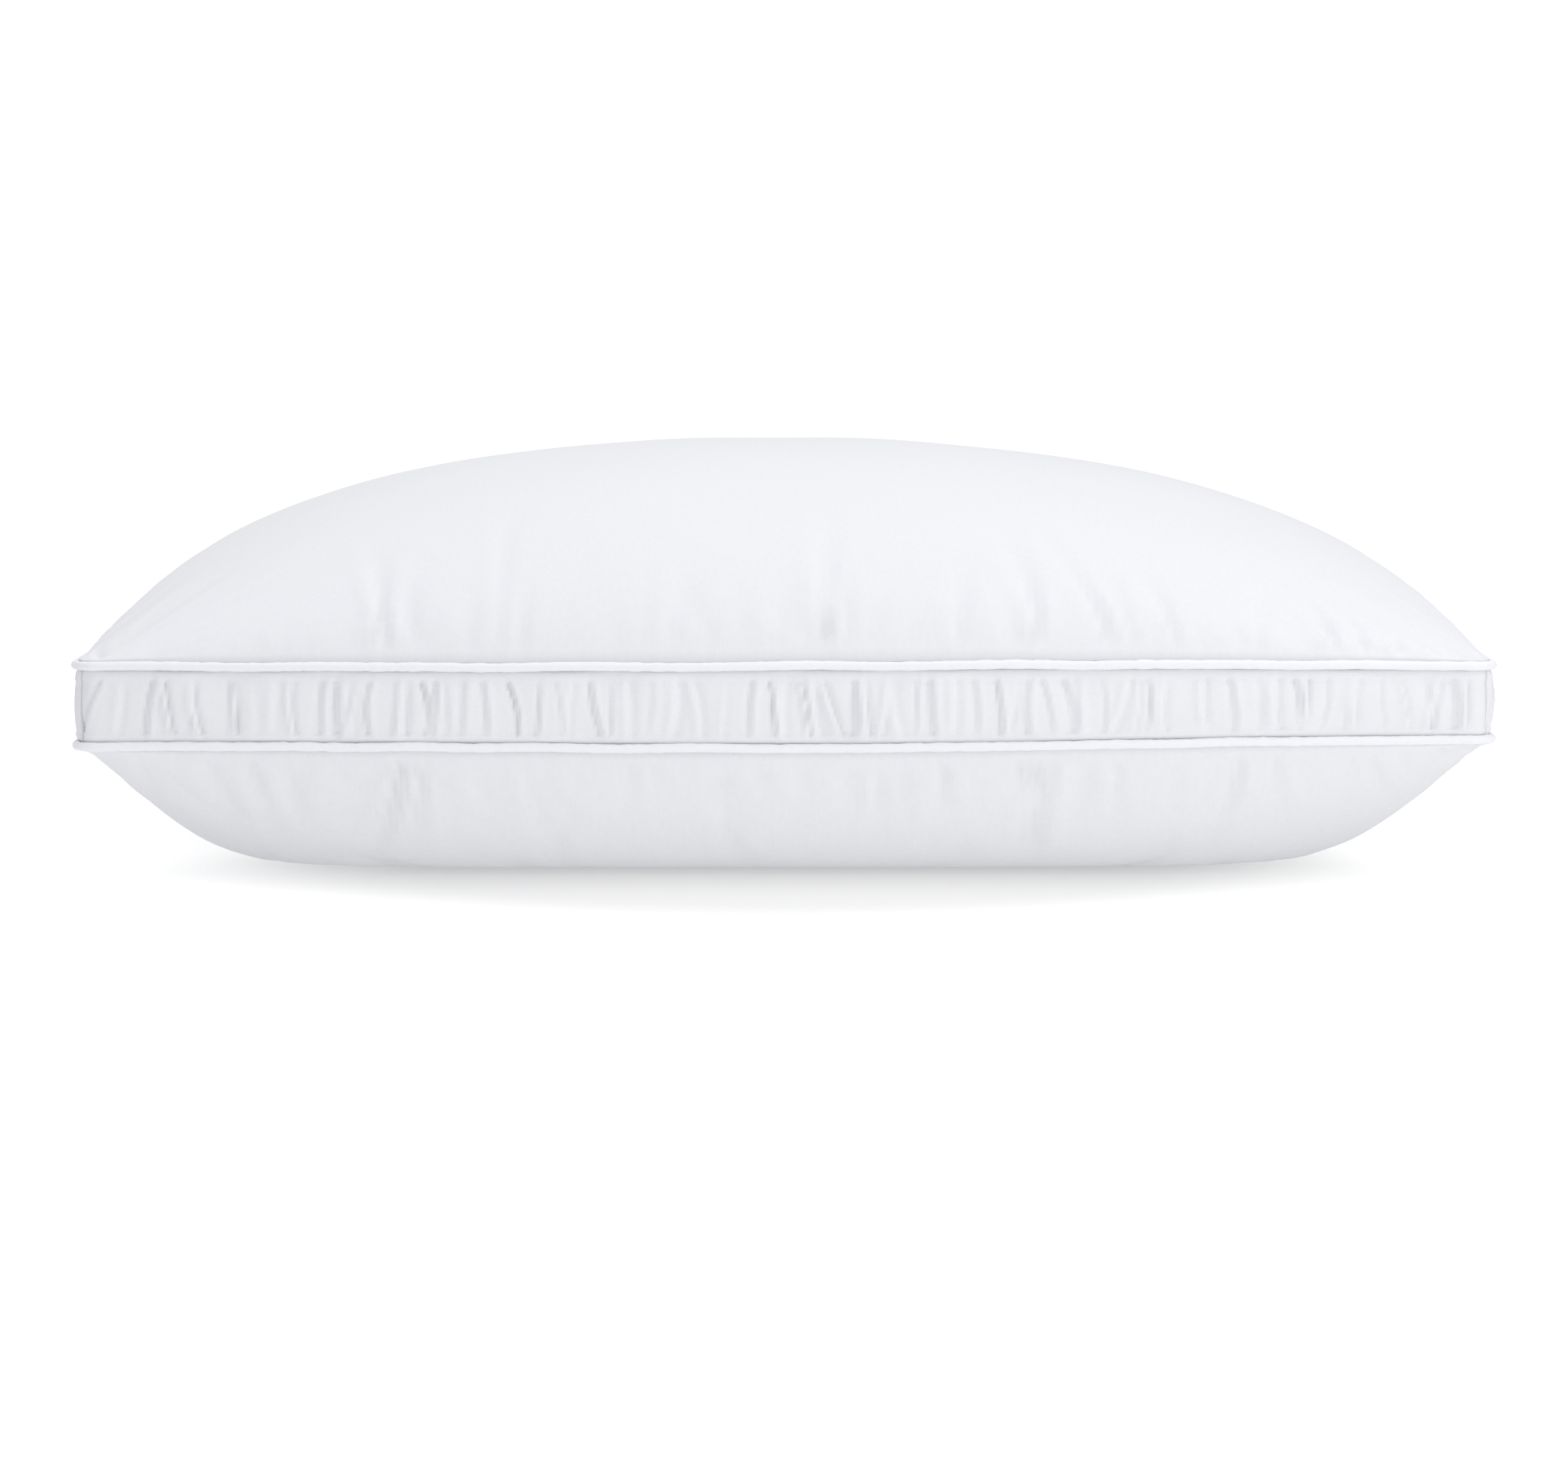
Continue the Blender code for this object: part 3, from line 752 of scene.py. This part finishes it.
# --- Gusset ---------------------------------------------------------------------------------------
# Four strips of the same percale, cut about a tenth longer than the seams that they are eased into.
# The extra length stands as upright gathers from one seam to the other, pressed flatter where the
# seam's plies lie behind.

STRIP_ROWS = 22
STRIP_BULGE = 0.0040
LOW_PLIES_END = 0.0045
HIGH_PLIES_END = 0.0058
STRIP_EASE = 1.10
STRIP_SLACK = 1.02
STRIP_PRESSURE = 4.0
STRIP_FRAMES = 12
STRIP_BEND = 0.1
STRIP_MOST_MOVE = 0.004
SEAM_GAP = 0.0003


def gathers(position, share, length, seed):
    """Furrows right across a strip, each with its own depth, width, lean and curve. Some fade out
    on the way."""
    random = np.random.default_rng(seed)
    total = np.zeros_like(position)
    at = -length / 2 + 0.006
    while at < length / 2 - 0.005:
        crowd = 0.5 + 0.5 * math.sin(at * 17 + seed) * math.sin(at * 41 + 2 * seed)
        width = random.uniform(0.0009, 0.0022)
        deep = random.uniform(0.0006, 0.0024) * (0.7 + 0.5 * crowd)
        near_end = math.exp(-(length / 2 - abs(at)) / 0.02)
        lean = random.normal() * 0.0046 - math.copysign(0.012, at) * near_end
        curve = random.normal() * 0.0016
        start, end = random.uniform(-0.3, 0.2), random.uniform(0.75, 1.3)
        mid = at + lean * (share - 0.5) + curve * np.sin(np.pi * share)
        fade = 1 / (1 + np.exp((start - share) / 0.06)) / (1 + np.exp((share - end) / 0.06))
        off = (position - mid) / width
        side = random.choice([-1, 1])
        total -= deep * np.exp(-off ** 2) * fade
        total += 0.8 * deep * np.exp(-((side * off - 2.0) ** 2) / 1.3) * fade
        at += random.uniform(0.004, 0.009) + (1 - crowd) * random.uniform(0.0, 0.012)
    return total


def gusset_strip(name, side, columns, side_length, seed):
    """One strip: its two turned-in edges and its face from seam to seam, and at each end the
    allowance that is sewn to the next strip's, which runs in from the corner."""
    face = np.linspace(0, 1, STRIP_ROWS + 1)
    turned = np.array([SEAM_REACH, 0.0085, PLY_INSET])
    rise = np.concatenate([0 * turned, face, 1 + 0 * turned])
    row_inset = np.concatenate([turned, FOOT_INSET + 0 * face, turned[::-1]])
    row_lift = np.concatenate([PLY_LIFT + 0 * turned, FOOT_LIFT + 0 * face, PLY_LIFT + 0 * turned])
    even = np.linspace(0, 1, columns + 1)
    share = np.concatenate([0 * turned, even, 1 + 0 * turned])
    run_in = np.concatenate([turned, 0 * even, turned[::-1]])
    share, rise = np.meshgrid(SEAM_GAP / side_length + share * (1 - 2 * SEAM_GAP / side_length), rise)
    row_inset = np.repeat(row_inset[:, None], share.shape[1], 1)
    run_in = np.repeat(run_in[None], share.shape[0], 0)
    position = (share - 0.5) * side_length
    height = high_seam - low_seam
    from_seam = np.minimum(rise, 1 - rise) * height
    plies_end = np.where(rise > 0.5, HIGH_PLIES_END, LOW_PLIES_END)
    past_plies = smooth_step(from_seam, plies_end - 0.0008, plies_end + 0.0016)
    rim = smooth_step(from_seam, 0.0, 0.0022)
    folds = gathers(position, rise, side_length, seed) * (0.2 + 0.8 * past_plies)
    folds += 0.0005 * waves(position, rise * height * 0.5, 0.03, seed + 5)
    plies = 0.0006 * (1 - smooth_step(from_seam, plies_end - 0.0005, plies_end + 0.0005))
    ends = np.minimum(share, 1 - share) * side_length
    tight = 0.5 + 0.5 * smooth_step(ends, 0.0, 0.05)
    tuck = -0.0012 * np.exp(-((ends / 0.004) ** 2)) * np.sin(np.pi * rise) ** 0.5
    out = STRIP_BULGE * tight * np.sin(np.pi * rise) ** 0.9 + (folds + plies + tuck) * rim - run_in
    x, y, out_x, out_y = outline(side + share, row_inset)
    low = low_seam_at(x) + row_lift[:, None]
    high = high_seam_at(x) - row_lift[:, None]
    points = np.stack([x + out * out_x, y + out * out_y, low + (high - low) * rise], -1)
    pinned = (from_seam <= 0) | (run_in > 0) | (share <= share.min()) | (share >= share.max())
    centre = points.mean((0, 1))
    rest = centre + (points - centre) * np.array([STRIP_SLACK, STRIP_SLACK, 1.0])
    points = relaxed(points, rest, pinned, STRIP_PRESSURE, STRIP_FRAMES, STRIP_BEND, STRIP_MOST_MOVE)
    ease_in = position * STRIP_EASE
    ease_up = rise * height + np.sign(rise - 0.5) * row_inset
    flat = np.stack([ease_in + np.sign(position) * run_in, ease_up], -1)
    strip = cloth_grid(name + "_cloth", points, flat, percale)
    thickened(strip, PLY, -1.0)
    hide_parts(name)
    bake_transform(strip)
    return strip


long_side = 2 * (half_x - CORNER) + math.pi * CORNER / 2
short_side = 2 * (half_y - CORNER) + math.pi * CORNER / 2
strips = [
    gusset_strip("gusset_right", 0, 330, short_side, 3),
    gusset_strip("gusset_back", 1, 470, long_side, 7),
    gusset_strip("gusset_left", 2, 330, short_side, 12),
    gusset_strip("gusset_front", 3, 470, long_side, 11),
]


# --- Seam threads ---------------------------------------------------------------------------------
# Spun polyester thread, two plies. Each panel's seam is sewn round through every allowance with 3
# mm stitches, and the strips' ends are sewn together down the four corners.

THREAD = 0.0003
STITCH_LINE = 0.0085


def spun_polyester(name):
    """Spun thread is a little brighter and glossier than the cotton that it sews."""
    material = bpy.data.materials.new(name)
    material.use_nodes = True
    tree = material.node_tree
    shader = tree.nodes["Principled BSDF"]
    shader.inputs["Roughness"].default_value = 0.55
    shader.inputs["IOR"].default_value = 1.55
    shader.inputs["Sheen Weight"].default_value = 0.3
    cut = add_node(tree, "ShaderNodeUVMap", uv_map="flat")
    hairs = add_node(tree, "ShaderNodeTexNoise", {"Vector": cut.outputs[0]}, Scale=4000.0, Detail=2.0)
    shade = add_node(tree, "ShaderNodeMixRGB", {"Fac": hairs.outputs["Fac"]},
                     Color1=linear("F7F7F7"), Color2=linear("E3E4E6"))
    tree.links.new(shade.outputs[0], shader.inputs["Base Color"])
    return material


thread = spun_polyester("sewing_thread")
on_panel = PLY_LIFT + PLY + THREAD + 0.0002
for name, seam_at, lift, body in (
    ("top_seam_thread", high_seam_at, on_panel, "top_edge"),
    ("bottom_seam_thread", low_seam_at, -on_panel, "base"),
):
    stitches = ring_tube(name + "_spun", seam_at, STITCH_LINE, lift, THREAD, 6, 1500, 2, 0.003, thread)
    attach(stitches, body)
    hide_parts(name)


def corner_stitches(name, corner):
    """A thread down one corner, lying on the inner face of one strip's end."""
    x, y, out_x, out_y = outline(np.array([float(corner)]), np.array([FOOT_INSET]))
    inward = Vector((-out_x[0], -out_y[0], 0))
    beside = Vector((-out_y[0], out_x[0], 0))
    foot = Vector((x[0], y[0], 0)) + inward * STITCH_LINE + beside * (SEAM_GAP + PLY + THREAD + 0.0002)
    low = low_seam_at(foot.x) + 0.003
    high = high_seam_at(foot.x) - 0.003
    angle, rise = np.meshgrid(np.linspace(0, 2 * np.pi, 7), np.linspace(low, high, 49))
    lobes = THREAD * (1 - 0.06 * (1 - np.cos(2 * angle - 2 * np.pi * rise / 0.003)))
    x = foot.x + lobes * np.cos(angle)
    y = foot.y + lobes * np.sin(angle)
    flat = np.stack([rise, angle * THREAD], -1)
    made = cloth_grid(name, np.stack([x, y, rise], -1), flat, thread, joined=True)
    cloth = bmesh.new()
    cloth.from_mesh(made.data)
    bmesh.ops.holes_fill(cloth, edges=[edge for edge in cloth.edges if edge.is_boundary])
    bmesh.ops.recalc_face_normals(cloth, faces=cloth.faces[:])
    cloth.to_mesh(made.data)
    cloth.free()
    return made


for corner, name in enumerate(("front_right", "back_right", "back_left", "front_left")):
    stitches = corner_stitches(name + "_stitches", corner)
    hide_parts(name + "_seam_thread")
    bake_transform(stitches)


# --- Fibre filling --------------------------------------------------------------------------------
# Crimped hollow polyester fibre, carded and blown in until the cover is tight. It lies in soft
# lumps, and stays a little clear of the cover all round.

FILL_CUTS = 76
FILL_INSET = 0.0150
FILL_CLEAR = 0.0095
FILL_LUMPS = 0.0016
FILL_TUFTS = 0.0006


def crimped_fibre(name):
    """Fluffy white staple: fine tangled hairs give it a dull bloom and small shadows, with no
    gloss. The small shadows are partly the bump's own and partly painted shade, because the colour
    is darker where the tufts dip."""
    material = bpy.data.materials.new(name)
    material.use_nodes = True
    tree = material.node_tree
    shader = tree.nodes["Principled BSDF"]
    shader.inputs["Roughness"].default_value = 0.95
    shader.inputs["Sheen Weight"].default_value = 0.6
    shader.inputs["Sheen Roughness"].default_value = 0.6
    place = add_node(tree, "ShaderNodeTexCoord")
    tufts = add_node(tree, "ShaderNodeTexNoise", {"Vector": place.outputs["Object"]},
                     Scale=160.0, Detail=5.0)
    hairs = add_node(tree, "ShaderNodeTexNoise", {"Vector": place.outputs["Object"]},
                     Scale=900.0, Detail=3.0, Distortion=2.5)
    both = add_node(tree, "ShaderNodeMath", {0: tufts.outputs["Fac"], 1: hairs.outputs["Fac"]},
                    operation="ADD")
    # Painted shade: the colour goes darker where the tufts dip, in the same hollows that the bump makes.
    shade = add_node(tree, "ShaderNodeMixRGB", {"Fac": tufts.outputs["Fac"]},
                     Color1=linear("E4E4E2"), Color2=linear("FAFAF8"))
    raised = add_node(tree, "ShaderNodeBump", {"Height": both.outputs[0]}, Strength=0.8, Distance=0.0015)
    tree.links.new(shade.outputs[0], shader.inputs["Base Color"])
    tree.links.new(raised.outputs[0], shader.inputs["Normal"])
    return material


def fibre_filling(name):
    """One closed mass between the panels: a cut cube bent to their shapes, with soft lumps."""
    filling = bmesh.new()
    bmesh.ops.create_cube(filling, size=2)
    bmesh.ops.subdivide_edges(filling, edges=filling.edges[:], cuts=FILL_CUTS, use_grid_fill=True)
    mesh = bpy.data.meshes.new(name)
    filling.to_mesh(mesh)
    filling.free()
    cube = np.empty(3 * len(mesh.vertices), np.float32)
    mesh.vertices.foreach_get("co", cube)
    u, v, w = cube.reshape(-1, 3).T.astype(float)
    u, v = np.sin(np.pi * u / 2) * 0.5 + u * 0.5, np.sin(np.pi * v / 2) * 0.5 + v * 0.5
    x, y = panel_plan(u, v)
    x, y = x * (1 - FILL_INSET / panel_x), y * (1 - FILL_INSET / panel_y)
    over_x, over_y = x / panel_x, y / panel_y
    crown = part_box("fibre_fill")[1].z - high_seam - FILL_CLEAR
    top = high_seam + crown * swell(over_x, over_y, *CROWN_SHAPE)
    bottom = low_seam - BELLY_DROP * swell(over_x, over_y, *BELLY_SHAPE) + FILL_CLEAR
    bottom = np.maximum(bottom, FILL_CLEAR)
    share = (w + 1) / 2
    z = bottom + (top - bottom) * share
    lumps = FILL_LUMPS * waves(x + 0.4 * z, y + z, 0.045, 71)
    lumps += FILL_TUFTS * waves(x - z, y + 0.5 * z, 0.013, 72)
    towards = 1 + np.minimum(lumps - 0.003, 0) / 0.1
    middle_z = (low_seam + high_seam) / 2
    points = np.stack([x * (1 + (towards - 1) * 0.3), y * (1 + (towards - 1) * 0.4),
                       middle_z + (z - middle_z) * towards], -1)
    mesh.vertices.foreach_set("co", points.astype(np.float32).ravel())
    mesh.shade_smooth()
    made = bpy.data.objects.new(name, mesh)
    scene.collection.objects.link(made)
    return made


filling = fibre_filling("blown_fibre")
filling.data.materials.append(crimped_fibre("polyester_fibre"))
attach(filling, "base")
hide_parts("fibre_fill")
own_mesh(filling)


# --- Care label -----------------------------------------------------------------------------------
# Blank white satin ribbon, folded double and caught by both ends in the lower back seam, near the
# right corner. It hangs free below the piping and curls a little.

LABEL_PLY = 0.00025


def satin_ribbon(name):
    """Polyester satin: long floats along the ribbon give it a soft stretched gleam, partly from its
    gloss and partly painted as lighter colour on the floats' crests. They are drawn 1.2 mm wide,
    because single floats are too fine to show."""
    material = bpy.data.materials.new(name)
    material.use_nodes = True
    tree = material.node_tree
    shader = tree.nodes["Principled BSDF"]
    shader.inputs["Roughness"].default_value = 0.35
    shader.inputs["IOR"].default_value = 1.57
    shader.inputs["Anisotropic"].default_value = 0.5
    shader.inputs["Sheen Weight"].default_value = 0.1
    cut = add_node(tree, "ShaderNodeUVMap", uv_map="flat")
    floats = add_node(tree, "ShaderNodeTexWave", {"Vector": cut.outputs[0]}, bands_direction="X",
                      Scale=2 * math.pi / 0.0012 / 20, Distortion=0.8, Detail=1.0)
    # Painted sheen and shade: the colour is lighter on the floats' crests and darker between them,
    # following the bump.
    shade = add_node(tree, "ShaderNodeMixRGB", {"Fac": floats.outputs["Fac"]},
                     Color1=linear("F2F2F0"), Color2=linear("FBFBFA"))
    raised = add_node(tree, "ShaderNodeBump", {"Height": floats.outputs["Fac"]},
                      Strength=0.3, Distance=0.00005)
    tree.links.new(shade.outputs[0], shader.inputs["Base Color"])
    tree.links.new(raised.outputs[0], shader.inputs["Normal"])
    return material


def care_label(name):
    """The folded ribbon, from one caught end down, round the fold and up to the other, with a
    little curl."""
    low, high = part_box("care_label")
    width = high.x - low.x
    apart = (high.y - low.y) / 2
    hang = high.z - low.z - apart
    turn = np.pi * apart
    length = 2 * hang + turn
    along, across = np.meshgrid(np.linspace(0, length, 121), np.linspace(-0.5, 0.5, 25), indexing="ij")
    fold = np.clip((along - hang) / turn, 0, 1)
    down = np.minimum(along, hang) - np.clip(along - hang - turn, 0, hang)
    z = high.z - down - apart * np.sin(np.pi * fold)
    y = (low.y + high.y) / 2 + apart * np.cos(np.pi * fold)
    fallen = (high.z - z) / (high.z - low.z)
    curl = 0.0022 * fallen ** 2 * (4 * across ** 2) + 0.0007 * fallen * np.sin(5 * across + 3 * fallen)
    points = np.stack([(low.x + high.x) / 2 + across * width, y + curl, z], -1)
    ribbon = cloth_grid(name, points, np.stack([across * width, along], -1), satin_ribbon("satin_ribbon"))
    thickened(ribbon, LABEL_PLY, -1.0)
    return ribbon


label = care_label("blank_care_label")
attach(label, "label")
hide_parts("care_label")
